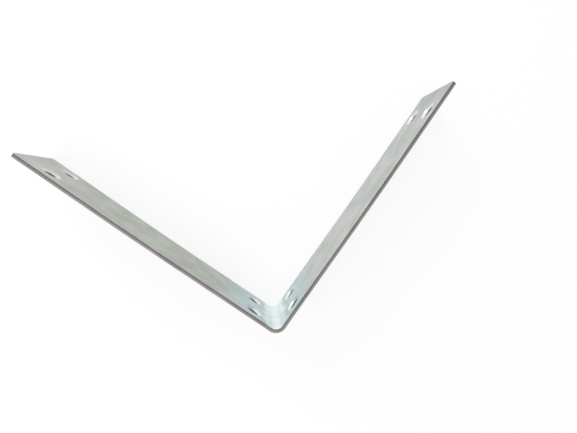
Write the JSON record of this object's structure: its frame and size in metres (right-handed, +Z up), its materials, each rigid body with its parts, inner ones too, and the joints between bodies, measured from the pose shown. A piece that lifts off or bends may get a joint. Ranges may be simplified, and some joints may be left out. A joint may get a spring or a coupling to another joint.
{
  "type": "steel angle bracket",
  "caption": "L-shaped corner bracket bent from flat zinc-plated steel strip, with countersunk screw holes along its legs, for joining or bracing members at a right angle.",
  "frame": {"origin": "sharp outer corner of the heel, where the planes of the outer faces meet, on the side edge of the strip that the bracket stands on", "axes": "+X along one leg and +Y along the other, both from the heel to the leg's end, +Z up across the width of the strip"},
  "size_m": [0.15, 0.15, 0.04],
  "materials": {
    "zinc_plated_steel": "zinc plated, satin, with plain sheared edges"
  },
  "bodies": {
    "root": {"angle_bracket": "zinc_plated_steel"}
  },
  "joints": []
}
